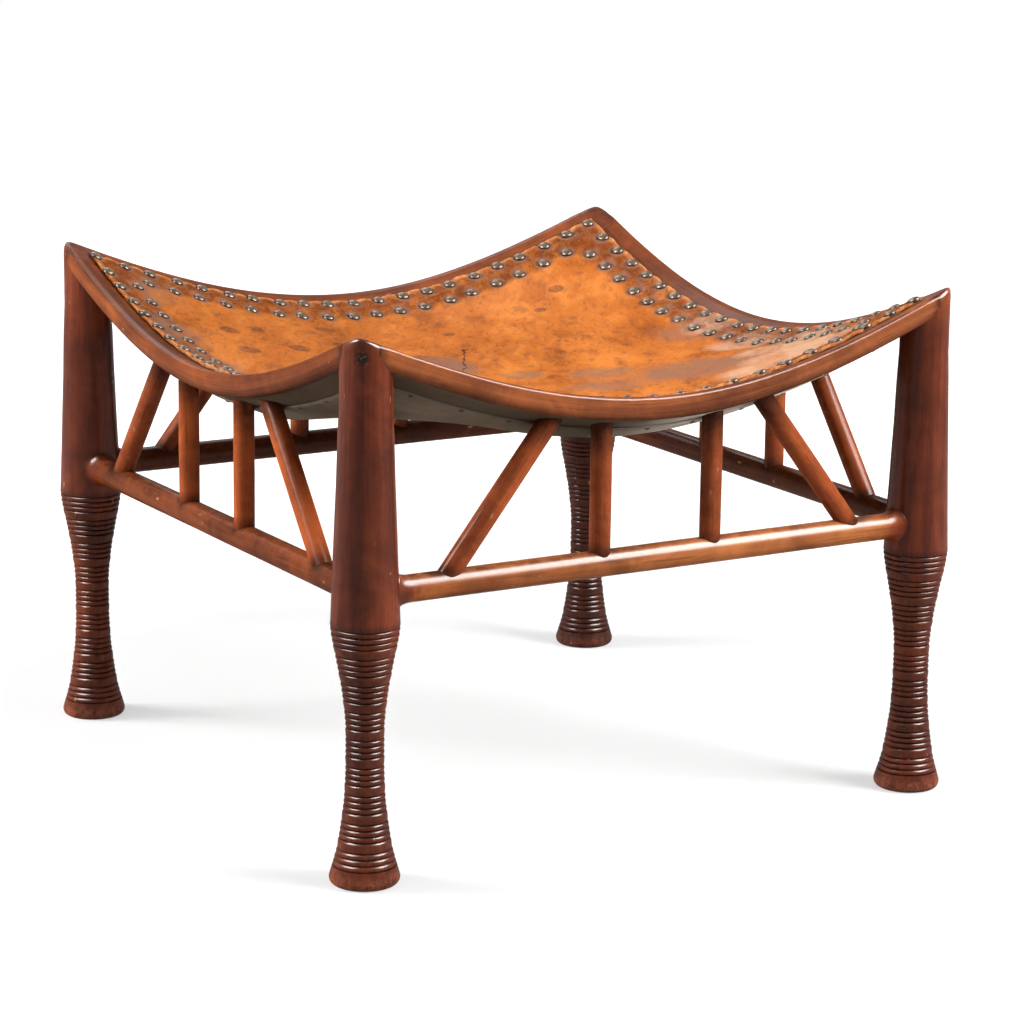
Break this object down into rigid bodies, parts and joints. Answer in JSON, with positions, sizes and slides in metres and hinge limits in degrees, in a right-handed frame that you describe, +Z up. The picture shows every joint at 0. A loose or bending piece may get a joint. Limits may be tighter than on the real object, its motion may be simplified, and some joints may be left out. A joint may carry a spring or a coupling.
{
  "type": "square stool",
  "caption": "Square wooden stool with ring-turned legs, round stretchers, upright spindles and leaning braces, and a dished leather seat nailed over curved rails.",
  "frame": {"origin": "on the floor, in the middle of the four feet", "axes": "+Z up; the front, the side that faces right in the picture, is -Y; +X to the right seen from the front"},
  "size_m": [0.4426, 0.4426, 0.3278],
  "materials": {
    "leg_mahogany": "dark polished mahogany",
    "rail_mahogany": "polished mahogany",
    "stretcher_mahogany": "polished mahogany",
    "spindle_mahogany": "polished mahogany",
    "seat_leather": "worn tan hide",
    "lining_canvas": "dull canvas"
  },
  "bodies": {
    "root": {"leg_front_right": "leg_mahogany", "leg_back_right": "leg_mahogany", "leg_back_left": "leg_mahogany", "leg_front_left": "leg_mahogany", "seat_rail_front": "rail_mahogany", "seat_rail_right": "rail_mahogany", "seat_rail_back": "rail_mahogany", "seat_rail_left": "rail_mahogany", "stretcher_front": "stretcher_mahogany", "stretcher_right": "stretcher_mahogany", "stretcher_back": "stretcher_mahogany", "stretcher_left": "stretcher_mahogany", "front_spindle_left": "spindle_mahogany", "front_spindle_right": "spindle_mahogany", "front_brace_left": "spindle_mahogany", "front_brace_right": "spindle_mahogany", "right_spindle_left": "spindle_mahogany", "right_spindle_right": "spindle_mahogany", "right_brace_left": "spindle_mahogany", "right_brace_right": "spindle_mahogany", "back_spindle_left": "spindle_mahogany", "back_spindle_right": "spindle_mahogany", "back_brace_left": "spindle_mahogany", "back_brace_right": "spindle_mahogany", "left_spindle_left": "spindle_mahogany", "left_spindle_right": "spindle_mahogany", "left_brace_left": "spindle_mahogany", "left_brace_right": "spindle_mahogany", "seat_leather": "seat_leather", "seat_lining": "lining_canvas"}
  },
  "joints": []
}
